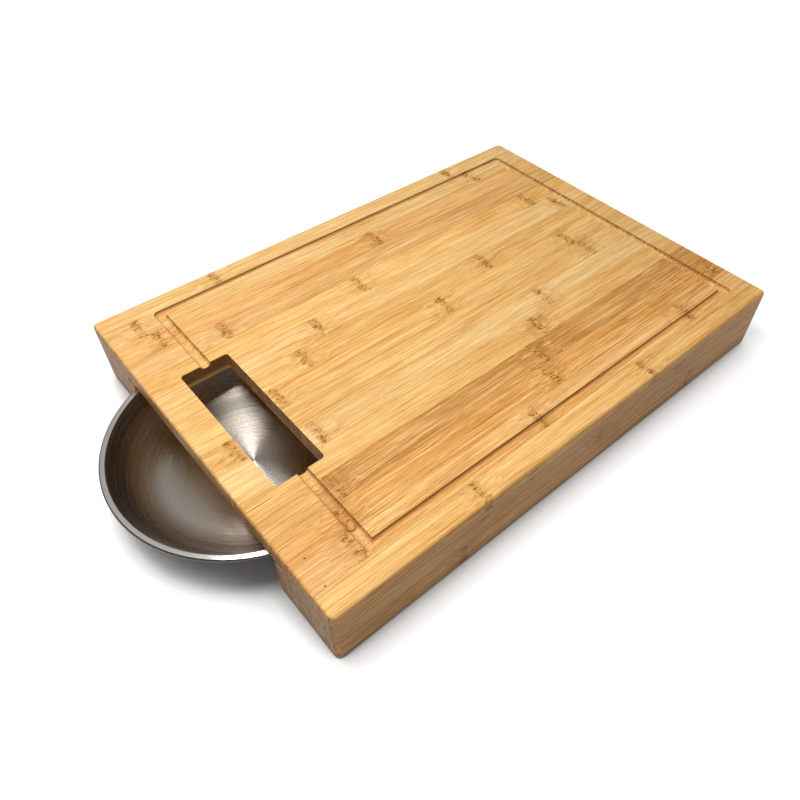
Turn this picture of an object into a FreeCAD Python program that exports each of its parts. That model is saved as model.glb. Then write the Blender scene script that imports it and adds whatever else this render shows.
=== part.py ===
import FreeCAD
import Part
import Sketcher
import math
import os

# A thick bamboo cutting board with a steel bowl that slides in under its deck.
#
# The board is glued up from four plies: a deck of lengthwise staves, a thin core sheet, and
# two plies of rails and blocks that leave a bay open at one end and below. The rails carry a
# rabbet along the bay, and the bowl's turned-down rim runs in the two rabbets.
#
# Frame, in millimetres: the origin is the middle of the board's underside, +X points from the
# bowl end to the closed end, +Y to the far long side and +Z up.

doc = FreeCAD.newDocument("cutting_board")

# ---------------------------------------------------------------- driving sizes

SIZES = (
    ("board_long", 500.0, "board, bowl end to closed end"),
    ("board_wide", 358.0, "board, across"),
    ("deck_thick", 12.0, "deck staves"),
    ("core_thick", 4.5, "sheet under the deck"),
    ("middle_thick", 21.0, "upper rails and block"),
    ("bottom_thick", 25.5, "lower rails and block"),
    ("corner_round", 5.0, "upright corners of the board"),
    ("edge_round", 3.0, "top and bottom edges of the board"),
    ("edge_stave_wide", 20.4, "the two outermost deck staves"),
    ("slot_notch", 10.3, "cut-out, into the stave beyond the ones that it divides"),
    ("slot_along", 43.2, "cut-out, along the board"),
    ("slot_inset", 28.7, "bowl end to the cut-out"),
    ("slot_corner", 3.0, "corners of the cut-out"),
    ("groove_wide", 9.5, "juice groove at the surface"),
    ("groove_deep", 4.0, "juice groove"),
    ("groove_side_inset", 26.2, "long sides to the groove's middle"),
    ("groove_bowl_inset", 51.5, "bowl end to the groove's middle"),
    ("groove_shut_inset", 29.3, "closed end to the groove's middle"),
    ("rim_radius", 112.0, "bowl, outside the turned-down lip"),
    ("flange_wide", 4.6, "bowl, inner wall to the outside of the lip"),
    ("bowl_deep", 33.0, "bowl, flange to the inside of its base"),
    ("bowl_corner", 37.0, "inside radius between base and wall"),
    ("wall_lean", 22.0, "bowl, lean of its wall from upright, in degrees"),
    ("sheet_thick", 0.8, "steel sheet of the bowl"),
    ("rim_bevel", 0.6, "bowl, eased edges where the flange bends down on both sides"),
    ("lip_tall", 3.2, "top of the flange to the lip's lower edge"),
    ("bowl_out", 67.6, "how far the bowl stands out of the board"),
    ("rim_gap", 0.3, "lip to the ledge it runs on"),
    ("wall_gap", 1.0, "bowl wall to the bay's side"),
    ("rabbet_tall", 6.2, "core sheet to the ledge"),
    ("rabbet_play", 6.0, "lip to the back of the rabbet"),
    ("bay_play", 2.0, "lip to the end block, with the bowl flush with the board's end"),
)

# Deck staves between the two outermost ones, and how many of them the cut-out divides. Both
# counts are odd, so that one stave lies on the board's middle line.
FULL_STAVES = 13
DIVIDED_STAVES = 5

sheet = doc.addObject("Spreadsheet::Sheet", "Sizes")
for row, (name, value, meaning) in enumerate(SIZES, start=1):
    sheet.set(f"A{row}", name)
    sheet.set(f"B{row}", str(value))
    sheet.set(f"C{row}", meaning)
    sheet.setAlias(f"B{row}", name)
doc.recompute()


def size(name):
    """The number in the sheet's cell of that name."""
    return float(getattr(sheet, name))


# Heights and places that several pieces share, as expressions on the sheet.
BOTTOM_TOP = "Sizes.bottom_thick"
MIDDLE_TOP = f"({BOTTOM_TOP} + Sizes.middle_thick)"
CORE_TOP = f"({MIDDLE_TOP} + Sizes.core_thick)"
BOARD_TOP = f"({CORE_TOP} + Sizes.deck_thick)"
BOWL_END = "(-Sizes.board_long / 2)"
SHUT_END = "(Sizes.board_long / 2)"
NEAR_SIDE = "(-Sizes.board_wide / 2)"
FAR_SIDE = "(Sizes.board_wide / 2)"

STAVE_WIDE = f"((Sizes.board_wide - 2 * Sizes.edge_stave_wide) / {FULL_STAVES})"
SLOT_ACROSS = f"({DIVIDED_STAVES} * {STAVE_WIDE} + 2 * Sizes.slot_notch)"
SLOT_MIDDLE = f"({BOWL_END} + Sizes.slot_inset + Sizes.slot_along / 2)"

WALL_RADIUS = "(Sizes.rim_radius - Sizes.flange_wide)"
BAY_HALF = f"({WALL_RADIUS} + Sizes.sheet_thick + Sizes.wall_gap)"
RABBET_HALF = "(Sizes.rim_radius + Sizes.rabbet_play)"
BAY_END = f"({BOWL_END} + 2 * Sizes.rim_radius + Sizes.bay_play)"
LEDGE = f"({MIDDLE_TOP} - Sizes.rabbet_tall)"
RIM_TOP = f"({LEDGE} + Sizes.rim_gap + Sizes.lip_tall)"

# How far a cutting box runs past the face that it cuts through.
OVERRUN = 6.0

# Half of the square that a new rectangle starts as, before its constraints give it a size.
ROUGH = 10.0


def bind(thing, links):
    """Ties properties of one object to expressions on the sheet."""
    for path, expression in links.items():
        thing.setExpression(path, expression)
    return thing


# ---------------------------------------------------------------- building blocks

def upright_edges(shape):
    """Names of the straight edges of a block that run along Z."""
    names = []
    for index, edge in enumerate(shape.Edges, start=1):
        ends = edge.Vertexes
        if len(ends) == 2 and math.dist(ends[0].Point[:2], ends[1].Point[:2]) < 0.001:
            names.append(f"Edge{index}")
    return names


def level_edges(shape, heights):
    """Names of the edges that lie at one of the given heights."""
    names = []
    for index, edge in enumerate(shape.Edges, start=1):
        box = edge.BoundBox
        if any(abs(box.ZMin - z) < 0.001 and abs(box.ZMax - z) < 0.001 for z in heights):
            names.append(f"Edge{index}")
    return names


def centred_block(name, along, across, tall, corner):
    """A rectangle centred on the origin, padded upwards, with its upright edges rounded."""
    body = doc.addObject("PartDesign::Body", name)
    plane = next(f for f in body.Origin.OriginFeatures if f.Role == "XY_Plane")
    sketch = body.newObject("Sketcher::SketchObject", f"{name}_outline")
    sketch.AttachmentSupport = [(plane, "")]
    sketch.MapMode = "FlatFace"
    corners = [FreeCAD.Vector(x * ROUGH, y * ROUGH, 0) for x, y in ((-1, -1), (1, -1), (1, 1), (-1, 1))]
    for first, second in zip(corners, corners[1:] + corners[:1]):
        sketch.addGeometry(Part.LineSegment(first, second), False)
    for line in range(4):
        sketch.addConstraint(Sketcher.Constraint("Coincident", line, 2, (line + 1) % 4, 1))
        level = "Horizontal" if line % 2 == 0 else "Vertical"
        sketch.addConstraint(Sketcher.Constraint(level, line))
    sketch.addConstraint(Sketcher.Constraint("Symmetric", 0, 1, 1, 2, -1, 1))
    for line, expression in ((0, along), (1, across)):
        axis = "DistanceX" if line == 0 else "DistanceY"
        here = sketch.addConstraint(Sketcher.Constraint(axis, line, 1, line, 2, 2 * ROUGH))
        sketch.setExpression(f"Constraints[{here}]", expression)
    pad = body.newObject("PartDesign::Pad", f"{name}_pad")
    pad.Profile = sketch
    bind(pad, {"Length": tall})
    doc.recompute()
    rounds = body.newObject("PartDesign::Fillet", f"{name}_corners")
    rounds.Base = (pad, upright_edges(pad.Shape))
    bind(rounds, {"Radius": corner})
    doc.recompute()
    return body, rounds


def box_between(name, low, high):
    """A box whose two opposite corners are given as expressions."""
    box = doc.addObject("Part::Box", name)
    for axis, side, start, end in zip("xyz", ("Length", "Width", "Height"), low, high):
        bind(box, {f"Placement.Base.{axis}": start, side: f"({end}) - ({start})"})
    return box


def cut_from(name, base, tool):
    """What is left of one object when another is cut out of it."""
    result = doc.addObject("Part::Cut", name)
    result.Base = base
    result.Tool = tool
    return result


def slice_of(name, form, low, high):
    """The piece of a form that lies inside a box."""
    piece = doc.addObject("Part::Common", name)
    piece.Base = form
    piece.Tool = box_between(f"{name}_slice", low, high)
    piece.Label = name
    return piece


pieces = []

# ---------------------------------------------------------------- outer form of the board

board_body, board_corners = centred_block(
    "board_form", "Sizes.board_long", "Sizes.board_wide", BOARD_TOP, "Sizes.corner_round")
board_thick = sum(size(ply) for ply in ("deck_thick", "core_thick", "middle_thick", "bottom_thick"))
board_edges = board_body.newObject("PartDesign::Fillet", "board_form_edges")
board_edges.Base = (board_corners, level_edges(board_corners.Shape, (0.0, board_thick)))
bind(board_edges, {"Radius": "Sizes.edge_round"})
doc.recompute()

# ---------------------------------------------------------------- cut-out and juice groove

slot_body, slot_corners = centred_block(
    "slot_form", "Sizes.slot_along", SLOT_ACROSS, f"{BOARD_TOP} + {OVERRUN}", "Sizes.slot_corner")
bind(slot_body, {"Placement.Base.x": SLOT_MIDDLE})

# The groove is what a round-nosed cutter leaves when it follows a rectangle: four round runs
# and a ball at each corner. The cutter's radius follows from the groove's width and depth.
CUTTER = "((Sizes.groove_wide ^ 2 / 4 + Sizes.groove_deep ^ 2) / (2 * Sizes.groove_deep))"
CUTTER_AT = f"({BOARD_TOP} - Sizes.groove_deep + {CUTTER})"
GROOVE_BOWL = f"({BOWL_END} + Sizes.groove_bowl_inset)"
GROOVE_SHUT = f"({SHUT_END} - Sizes.groove_shut_inset)"
GROOVE_NEAR = f"({NEAR_SIDE} + Sizes.groove_side_inset)"
GROOVE_FAR = f"({FAR_SIDE} - Sizes.groove_side_inset)"


def groove_run(name, axis, angle, start, length):
    """One straight pass of the round-nosed cutter."""
    run = doc.addObject("Part::Cylinder", name)
    run.Placement.Rotation = FreeCAD.Rotation(FreeCAD.Vector(*axis), angle)
    bind(run, {"Radius": CUTTER, "Height": length})
    bind(run, {f"Placement.Base.{letter}": place for letter, place in zip("xyz", start)})
    return run


def groove_corner(name, place):
    """The ball that the cutter leaves where it turns."""
    ball = doc.addObject("Part::Sphere", name)
    bind(ball, {"Radius": CUTTER})
    bind(ball, {f"Placement.Base.{letter}": at for letter, at in zip("xyz", place)})
    return ball


groove_parts = []
for side, y in (("near", GROOVE_NEAR), ("far", GROOVE_FAR)):
    groove_parts.append(groove_run(f"groove_{side}", (0, 1, 0), 90,
                                   (GROOVE_BOWL, y, CUTTER_AT), f"{GROOVE_SHUT} - {GROOVE_BOWL}"))
    for end, x in (("bowl", GROOVE_BOWL), ("shut", GROOVE_SHUT)):
        groove_parts.append(groove_corner(f"groove_{side}_{end}", (x, y, CUTTER_AT)))
for end, x in (("bowl", GROOVE_BOWL), ("shut", GROOVE_SHUT)):
    groove_parts.append(groove_run(f"groove_{end}", (1, 0, 0), -90,
                                   (x, GROOVE_NEAR, CUTTER_AT), f"{GROOVE_FAR} - {GROOVE_NEAR}"))
groove_form = doc.addObject("Part::MultiFuse", "groove_form")
groove_form.Shapes = groove_parts

slotted_form = cut_from("slotted_form", board_body, slot_body)
deck_form = cut_from("deck_form", slotted_form, groove_form)
doc.recompute()

# ---------------------------------------------------------------- deck staves

# Numbered from the far side. The staves that the cut-out crosses completely are two pieces each,
# a short one at the bowl end and a long one behind the cut-out.
END_LOW = f"{BOWL_END} - {OVERRUN}"
END_HIGH = f"{SHUT_END} + {OVERRUN}"
ABOVE = f"{BOARD_TOP} + {OVERRUN}"

last_stave = FULL_STAVES + 2
middle_stave = (last_stave + 1) // 2
divided = range(middle_stave - DIVIDED_STAVES // 2, middle_stave + DIVIDED_STAVES // 2 + 1)


def stave_edge(number):
    """The plane between stave number and the next one towards the near side."""
    if number == 0:
        return f"{FAR_SIDE} + {OVERRUN}"
    if number == last_stave:
        return f"{NEAR_SIDE} - {OVERRUN}"
    return f"{FAR_SIDE} - Sizes.edge_stave_wide - {number - 1} * {STAVE_WIDE}"


for number in range(1, last_stave + 1):
    near, far = stave_edge(number), stave_edge(number - 1)
    name = f"deck_stave_{number:02d}"
    spans = {name: (END_LOW, END_HIGH)}
    if number in divided:
        spans = {f"{name}_short": (END_LOW, SLOT_MIDDLE), f"{name}_long": (SLOT_MIDDLE, END_HIGH)}
    for label, (start, end) in spans.items():
        pieces.append(slice_of(label, deck_form, (start, near, CORE_TOP), (end, far, ABOVE)))

# ---------------------------------------------------------------- core sheet

pieces.append(slice_of("core_sheet", slotted_form,
                       (END_LOW, f"{NEAR_SIDE} - {OVERRUN}", MIDDLE_TOP),
                       (END_HIGH, f"{FAR_SIDE} + {OVERRUN}", CORE_TOP)))

# ---------------------------------------------------------------- rails and end blocks

rail_spans = {
    "near": (f"{NEAR_SIDE} - {OVERRUN}", f"-{BAY_HALF}"),
    "far": (BAY_HALF, f"{FAR_SIDE} + {OVERRUN}"),
}
rabbets = box_between(
    "rabbets",
    (END_LOW, f"-{RABBET_HALF}", LEDGE),
    (BAY_END, RABBET_HALF, f"{MIDDLE_TOP} + {OVERRUN}"))

for ply, low, high in (("middle", BOTTOM_TOP, MIDDLE_TOP), ("bottom", f"-{OVERRUN}", BOTTOM_TOP)):
    for side, (near, far) in rail_spans.items():
        name = f"{ply}_rail_{side}"
        if ply == "middle":
            rail = slice_of(f"{name}_blank", board_body, (END_LOW, near, low), (END_HIGH, far, high))
            rail = cut_from(name, rail, rabbets)
            rail.Label = name
        else:
            rail = slice_of(name, board_body, (END_LOW, near, low), (END_HIGH, far, high))
        pieces.append(rail)
    pieces.append(slice_of(f"{ply}_end_block", board_body,
                           (BAY_END, f"-{BAY_HALF}", low), (END_HIGH, BAY_HALF, high)))

# ---------------------------------------------------------------- bowl

# Spun from one disc: a flat base, a quarter-round corner, an upright wall, a narrow flat flange
# and a lip turned down at its edge. The section is drawn once, inside and outside, and turned.
# The flange's two tight bends are eased edges, so that the solid stays light.


def bowl_section(sketch):
    """The closed section of the bowl, to the right of its axis, standing on Z = 0."""
    sheet_t, corner, bevel = size("sheet_thick"), size("bowl_corner"), size("rim_bevel")
    wall, rim = size("rim_radius") - size("flange_wide"), size("rim_radius")
    top = size("bowl_deep") + sheet_t
    low = top - size("lip_tall")
    steep = math.radians(90 - size("wall_lean"))
    across, down = math.sin(steep), -math.cos(steep)
    straight = (top - bevel - sheet_t - corner * (1 + down)) / across
    flat, turn = wall - corner * across + straight * down, corner + sheet_t
    under = wall + sheet_t / across - (sheet_t - bevel) * math.tan(math.pi / 2 - steep)

    def line(x1, z1, x2, z2):
        ends = FreeCAD.Vector(x1, z1, 0), FreeCAD.Vector(x2, z2, 0)
        return sketch.addGeometry(Part.LineSegment(*ends), False)

    def turned_up(radius):
        circle = Part.Circle(FreeCAD.Vector(flat, turn, 0), FreeCAD.Vector(0, 0, 1), radius)
        start = math.radians(270)
        return sketch.addGeometry(Part.ArcOfCircle(circle, start, start + steep), False)

    def corner_end(radius):
        return flat + radius * across, turn + radius * down

    base = line(0, 0, flat, 0)
    corner_out = turned_up(corner + sheet_t)
    wall_out = line(*corner_end(corner + sheet_t), under, top - sheet_t)
    flange_under = line(under, top - sheet_t, rim - sheet_t, top - sheet_t)
    lip_in = line(rim - sheet_t, top - sheet_t, rim - sheet_t, low)
    lip_edge = line(rim - sheet_t, low, rim, low)
    lip_out = line(rim, low, rim, top - bevel)
    lip_bend = line(rim, top - bevel, rim - bevel, top)
    flange = line(rim - bevel, top, wall + bevel, top)
    wall_bend = line(wall + bevel, top, wall, top - bevel)
    wall_in = line(wall, top - bevel, *corner_end(corner))
    corner_in = turned_up(corner)
    floor = line(flat, sheet_t, 0, sheet_t)
    axis = line(0, sheet_t, 0, 0)

    first, last, centre = 1, 2, 3
    smooth = (
        (base, last, corner_out, first), (corner_out, last, wall_out, first),
        (wall_in, last, corner_in, last), (corner_in, first, floor, first),
    )
    sharp = (
        (wall_out, flange_under), (flange_under, lip_in), (lip_in, lip_edge), (lip_edge, lip_out),
        (lip_out, lip_bend), (lip_bend, flange), (flange, wall_bend), (wall_bend, wall_in),
        (floor, axis), (axis, base),
    )
    for ends in smooth:
        sketch.addConstraint(Sketcher.Constraint("Tangent", *ends))
    for one, following in sharp:
        sketch.addConstraint(Sketcher.Constraint("Coincident", one, last, following, first))
    sketch.addConstraint(Sketcher.Constraint("Coincident", corner_out, centre, corner_in, centre))
    for level in (base, flange_under, lip_edge, flange, floor):
        sketch.addConstraint(Sketcher.Constraint("Horizontal", level))
    for upright in (lip_in, lip_out, axis):
        sketch.addConstraint(Sketcher.Constraint("Vertical", upright))
    sketch.addConstraint(Sketcher.Constraint("Parallel", wall_in, wall_out))
    origin, point = -1, 1
    sketch.addConstraint(Sketcher.Constraint("Coincident", base, first, origin, point))

    def measured(kind, picks, expression, now):
        here = sketch.addConstraint(Sketcher.Constraint(kind, *picks, now))
        sketch.setExpression(f"Constraints[{here}]", expression)

    measured("Angle", (wall_out,), "90 deg - Sizes.wall_lean * 1 deg", steep)
    measured("Radius", (corner_in,), "Sizes.bowl_corner", corner)
    measured("DistanceX", (origin, point, wall_in, first), WALL_RADIUS, wall)
    measured("DistanceX", (origin, point, lip_out, last), "Sizes.rim_radius", rim)
    measured("DistanceY", (origin, point, flange, last), "Sizes.bowl_deep + Sizes.sheet_thick", top)
    measured("DistanceY", (lip_edge, last, flange, first), "Sizes.lip_tall", top - low)
    measured("DistanceY", (axis, last, axis, first), "Sizes.sheet_thick", sheet_t)
    measured("DistanceY", (flange_under, last, flange, first), "Sizes.sheet_thick", sheet_t)
    measured("DistanceX", (lip_edge, first, lip_edge, last), "Sizes.sheet_thick", sheet_t)
    for bend, low_end, high_end in ((lip_bend, first, last), (wall_bend, last, first)):
        measured("DistanceX", (bend, last, bend, first), "Sizes.rim_bevel", bevel)
        measured("DistanceY", (bend, low_end, bend, high_end), "Sizes.rim_bevel", bevel)


bowl = doc.addObject("PartDesign::Body", "bowl")
bowl.Label = "bowl"
upright_plane = next(f for f in bowl.Origin.OriginFeatures if f.Role == "XZ_Plane")
bowl_sketch = bowl.newObject("Sketcher::SketchObject", "bowl_section")
bowl_sketch.AttachmentSupport = [(upright_plane, "")]
bowl_sketch.MapMode = "FlatFace"
bowl_section(bowl_sketch)
doc.recompute()
bowl_turned = bowl.newObject("PartDesign::Revolution", "bowl_turned")
bowl_turned.Profile = bowl_sketch
bowl_turned.ReferenceAxis = (bowl_sketch, ["V_Axis"])
bowl_turned.Angle = 360.0
bowl.Tip = bowl_turned
bind(bowl, {
    "Placement.Base.x": f"{BOWL_END} + Sizes.rim_radius - Sizes.bowl_out",
    "Placement.Base.z": f"{RIM_TOP} - Sizes.bowl_deep - Sizes.sheet_thick",
})
pieces.append(bowl)
doc.recompute()

# ---------------------------------------------------------------- checks and files

for thing in doc.Objects:
    if "Invalid" in thing.State or "Error" in thing.State:
        raise RuntimeError(f"{thing.Label} did not build: {thing.State}")
for piece in pieces:
    shape = piece.Shape
    if shape.isNull() or not shape.isValid() or len(shape.Solids) != 1:
        raise RuntimeError(f"{piece.Label} is not one valid solid")

os.makedirs("parts", exist_ok=True)
for piece in pieces:
    piece.Shape.exportStep(f"parts/{piece.Label}.step")
    box = piece.Shape.optimalBoundingBox()
    print(f"{piece.Label:22s} {piece.Shape.Volume / 1000:9.2f} cm3   "
          f"X {box.XMin:8.2f} {box.XMax:8.2f}   Y {box.YMin:8.2f} {box.YMax:8.2f}   "
          f"Z {box.ZMin:6.2f} {box.ZMax:6.2f}")
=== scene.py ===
# %% [markdown]
# # A bamboo cutting board with a steel bowl under its deck
# The board is glued up from bamboo strips: a deck of fifteen staves, a thin core sheet, and two
# plies of rails and blocks. The rails leave a bay under one end, and a spun steel bowl slides in
# it on two ledges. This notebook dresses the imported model: the board's pieces keep their meshes
# and get bamboo materials, and the bowl is turned again on a Geometry Nodes lathe, because a
# shiny surface shows every facet.

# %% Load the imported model
import math

import bpy
from mathutils import Matrix, Vector


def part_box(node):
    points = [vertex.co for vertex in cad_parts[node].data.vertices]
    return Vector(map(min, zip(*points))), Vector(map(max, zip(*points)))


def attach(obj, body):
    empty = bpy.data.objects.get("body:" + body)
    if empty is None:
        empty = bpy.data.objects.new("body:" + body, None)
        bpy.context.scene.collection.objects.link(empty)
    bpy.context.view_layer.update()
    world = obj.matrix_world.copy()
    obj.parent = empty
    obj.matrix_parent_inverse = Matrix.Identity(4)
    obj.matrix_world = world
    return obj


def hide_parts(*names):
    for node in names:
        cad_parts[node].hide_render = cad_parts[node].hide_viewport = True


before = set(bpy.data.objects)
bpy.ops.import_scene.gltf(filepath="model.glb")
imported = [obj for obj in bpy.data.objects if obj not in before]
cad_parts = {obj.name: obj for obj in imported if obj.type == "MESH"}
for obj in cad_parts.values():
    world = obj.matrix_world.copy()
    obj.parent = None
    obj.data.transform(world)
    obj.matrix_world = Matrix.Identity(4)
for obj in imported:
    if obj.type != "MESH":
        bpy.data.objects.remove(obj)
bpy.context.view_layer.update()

MM = 0.001
board_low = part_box("bottom_rail_near")[0]
board_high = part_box("deck_stave_01")[1]
bowl_low, bowl_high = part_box("bowl")
bowl_axis = (bowl_low + bowl_high) / 2
rim = (bowl_high.x - bowl_low.x) / 2
board_mm = [round(size / MM, 1) for size in board_high - board_low]
print("nodes:", len(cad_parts), "  board, mm:", board_mm)

# %% [markdown]
# ## Two helpers
# Paint charts and web colours are written in sRGB, but Blender's sockets hold linear light, so
# one function turns hex values to linear. The other adds a node to any tree and fills its inputs
# with numbers or links. They keep the material cells short enough to read as recipes.

# %% Colour and node helpers
def linear(hex_colour):
    """An sRGB hex colour as linear RGBA."""
    channels = [int(hex_colour[i:i + 2], 16) / 255 for i in (1, 3, 5)]
    return [c / 12.92 if c <= 0.04045 else ((c + 0.055) / 1.055) ** 2.4 for c in channels] + [1.0]


def add(tree, kind, inputs=None, **settings):
    """Adds a node, sets its properties, and gives each named input a value or a link."""
    node = tree.nodes.new(kind)
    for name, value in settings.items():
        setattr(node, name, value)
    for name, value in (inputs or {}).items():
        named = [s for s in node.inputs if s.enabled and name in (s.name, s.identifier)]
        socket = node.inputs[name] if isinstance(name, int) else named[0]
        if isinstance(value, bpy.types.Node):
            value = next(s for s in value.outputs if s.enabled)
        if isinstance(value, bpy.types.NodeSocket):
            tree.links.new(value, socket)
        else:
            socket.default_value = value
    return node


print("pale honey in linear light:", [round(c, 3) for c in linear("#edba73")])

# %% [markdown]
# ## Camera
# The board is seen from above its near corner at the bowl end, with a moderately wide lens and
# no roll to speak of. The position and the two directions are in the board's own frame, so the
# view stays right whatever is added to the scene.

# %% Camera
CAMERA_PLACE = Vector((-0.3321, -0.3579, 0.4798))
CAMERA_RIGHT = Vector((0.75427, -0.65633, 0.01751))
CAMERA_AHEAD = Vector((0.45033, 0.49775, -0.74125))
CAMERA_LENS_MM = 31.64
CAMERA_SENSOR_MM = 36.0
CAMERA_SHIFT = (-0.0403, -0.0031)
CAMERA_NEAREST = 10 * MM

camera_data = bpy.data.cameras.new("camera")
camera_data.lens = CAMERA_LENS_MM
camera_data.sensor_width = CAMERA_SENSOR_MM
camera_data.shift_x, camera_data.shift_y = CAMERA_SHIFT
camera_data.clip_start = CAMERA_NEAREST
camera = bpy.data.objects.new("camera", camera_data)
bpy.context.scene.collection.objects.link(camera)
camera_up = CAMERA_RIGHT.cross(CAMERA_AHEAD)
camera_axes = Matrix((CAMERA_RIGHT, camera_up, -CAMERA_AHEAD)).transposed()
camera.matrix_world = Matrix.LocRotScale(CAMERA_PLACE, camera_axes.to_quaternion(), None)
bpy.context.scene.camera = camera
print("camera height, mm:", round(CAMERA_PLACE.z / MM))

# %% [markdown]
# ## What the first look finds
# A product table stands in a white room, but white all round would wash out the shadows and the
# warm shade of the sides. What lights the board and what the eye and the brushed steel see are
# therefore kept apart. A small node group tells the floor and the room which kind of ray asks:
# one straight from the camera, or one that bounced off or went through something shiny before
# anything matt. All other rays find a mid-grey floor and a dim room.

# %% A mask for the first look
# A ray that has met nothing matt yet has a diffuse depth below this.
NEVER_SCATTERED = 0.5

first_look = bpy.data.node_groups.new("first look", "ShaderNodeTree")
for name in ("Camera", "Mirrored"):
    first_look.interface.new_socket(name, in_out="OUTPUT", socket_type="NodeSocketFloat")
path = add(first_look, "ShaderNodeLightPath").outputs
mirrored = add(first_look, "ShaderNodeMath",
               {0: path["Is Glossy Ray"], 1: path["Is Transmission Ray"]}, operation="MAXIMUM")
unscattered = add(first_look, "ShaderNodeMath",
                  {0: path["Diffuse Depth"], 1: NEVER_SCATTERED}, operation="LESS_THAN")
mirrored = add(first_look, "ShaderNodeMath", {0: mirrored, 1: unscattered}, operation="MULTIPLY")
add(first_look, "NodeGroupOutput", {"Camera": path["Is Camera Ray"], "Mirrored": mirrored})
print("first look mask:", len(first_look.nodes), "nodes")

# %% [markdown]
# ## Floor
# The table is matt white. A plain white floor would throw too much light up at the board, so it
# is mid-grey to the light, and glows white to a first look. An Ambient Occlusion node
# measures how much open sky each spot has over it, and a ramp turns that into glow. The glow
# fades under the bowl and beside the board, and because it is measured and not painted, the
# shadow follows the bowl when it slides.

# %% Floor
FLOOR_SIZE = 12.0
FLOOR_DROP = 0.2 * MM
FLOOR_BOUNCE = 0.34
FLOOR_SEEN = 0.60
SKY_REACH = 0.30
SKY_SAMPLES = 16
# How much the floor glows at each share of open sky over it.
GLOW = ((0.41, 0.0), (0.50, 0.19), (0.55, 0.39), (0.61, 0.46), (0.70, 0.52), (0.88, 0.63),
        (0.96, 0.73), (1.0, 0.90))

floor_mesh = bpy.data.meshes.new("floor")
half = FLOOR_SIZE / 2
floor_mesh.from_pydata([(-half, -half, 0), (half, -half, 0), (half, half, 0), (-half, half, 0)],
                       [], [(0, 1, 2, 3)])
floor = bpy.data.objects.new("floor", floor_mesh)
floor.location.z = -FLOOR_DROP
bpy.context.scene.collection.objects.link(floor)

floor_paint = bpy.data.materials.new("matt white table")
floor_paint.use_nodes = True
tree = floor_paint.node_tree
tree.nodes.clear()
open_sky = add(tree, "ShaderNodeAmbientOcclusion", {"Distance": SKY_REACH}, samples=SKY_SAMPLES)
strength = add(tree, "ShaderNodeValToRGB", {"Fac": open_sky.outputs["AO"]})
stops = strength.color_ramp.elements
for share, _ in GLOW[1:-1]:
    stops.new(share)
for stop, (share, value) in zip(stops, GLOW):
    stop.position, stop.color = share, (value, value, value, 1.0)
look = add(tree, "ShaderNodeGroup", node_tree=first_look).outputs
seen = add(tree, "ShaderNodeMath", {0: look["Camera"], 1: look["Mirrored"]}, operation="MAXIMUM")
bounce, paint = (add(tree, "ShaderNodeBsdfDiffuse", {"Color": (grey, grey, grey, 1)})
                 for grey in (FLOOR_BOUNCE, FLOOR_SEEN))
glow = add(tree, "ShaderNodeEmission", {"Color": (1, 1, 1, 1), "Strength": strength})
white = add(tree, "ShaderNodeAddShader", {0: paint, 1: glow})
mixed = add(tree, "ShaderNodeMixShader", {0: seen, 1: bounce, 2: white})
add(tree, "ShaderNodeOutputMaterial", {"Surface": mixed})
floor_mesh.materials.append(floor_paint)
print("floor paint:", len(tree.nodes), "nodes, glow from", GLOW[0][1], "to", GLOW[-1][1])

# %% [markdown]
# ## Lamps and room
# One large softbox hangs overhead, so the deck is bright, the sides fall into a warm shade and
# the shadow hugs the board. A small one behind the board is aimed at the bowl, where the brushed
# steel spreads it into a bright bow tie. The room adds a little light from all round. To a first
# look it is white, and the steel finds a dark room with one pale card in it, on the side of the
# small softbox, which shapes the gleam on the wall of the bowl.

# %% Lamps
# Each softbox: where it hangs, the spot it is aimed at, how wide it is, and its watts.
SOFTBOXES = {
    "overhead": (Vector((-0.26, -0.01, 0.98)), Vector((-0.26, -0.01, 0.0)), 0.34, 7.1),
    "behind": (Vector((-0.10, 0.33, 0.95)), Vector((bowl_axis.x, bowl_axis.y, 0.0)), 0.21, 1.0),
}

for name, (hangs, aim, wide, watts) in SOFTBOXES.items():
    lamp_data = bpy.data.lights.new(name, "AREA")
    lamp_data.size = wide
    lamp_data.energy = watts
    lamp = bpy.data.objects.new(name, lamp_data)
    lamp.location = hangs
    lamp.rotation_euler = (hangs - aim).to_track_quat("Z", "Y").to_euler()
    bpy.context.scene.collection.objects.link(lamp)
    print(f"softbox {name}: {watts} W, {wide} m wide, {(hangs - aim).length:.2f} m away")

# %% Room
ROOM_ZENITH = 0.38
ROOM_HORIZON = 0.29
ROOM_MIRRORED = 0.10
CARD_BRIGHT = 0.60
# The cosines of the angles from the card's middle at which it starts and is full.
CARD_EDGE, CARD_CORE = 0.75, 0.98

hangs, aim = SOFTBOXES["behind"][:2]
towards_card = (hangs - aim).normalized()
room = bpy.data.worlds.new("room")
room.use_nodes = True
bpy.context.scene.world = room
tree = room.node_tree
tree.nodes.clear()
direction = add(tree, "ShaderNodeTexCoord").outputs["Generated"]
height = add(tree, "ShaderNodeSeparateXYZ", {"Vector": direction}).outputs["Z"]
lit = add(tree, "ShaderNodeMapRange",
          {"Value": height, "To Min": ROOM_HORIZON, "To Max": ROOM_ZENITH})
card = add(tree, "ShaderNodeVectorMath", {0: direction, 1: towards_card}, operation="DOT_PRODUCT")
shown = add(tree, "ShaderNodeMapRange",
            {"Value": card.outputs["Value"], "From Min": CARD_EDGE, "From Max": CARD_CORE,
             "To Min": ROOM_MIRRORED, "To Max": CARD_BRIGHT}, interpolation_type="SMOOTHSTEP")
look = add(tree, "ShaderNodeGroup", node_tree=first_look).outputs
strength = add(tree, "ShaderNodeMix", {"Factor": look["Mirrored"], "A": lit, "B": shown})
strength = add(tree, "ShaderNodeMix", {"Factor": look["Camera"], "A": strength, "B": 1.0})
sky = add(tree, "ShaderNodeBackground", {"Color": (1, 1, 1, 1), "Strength": strength})
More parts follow.
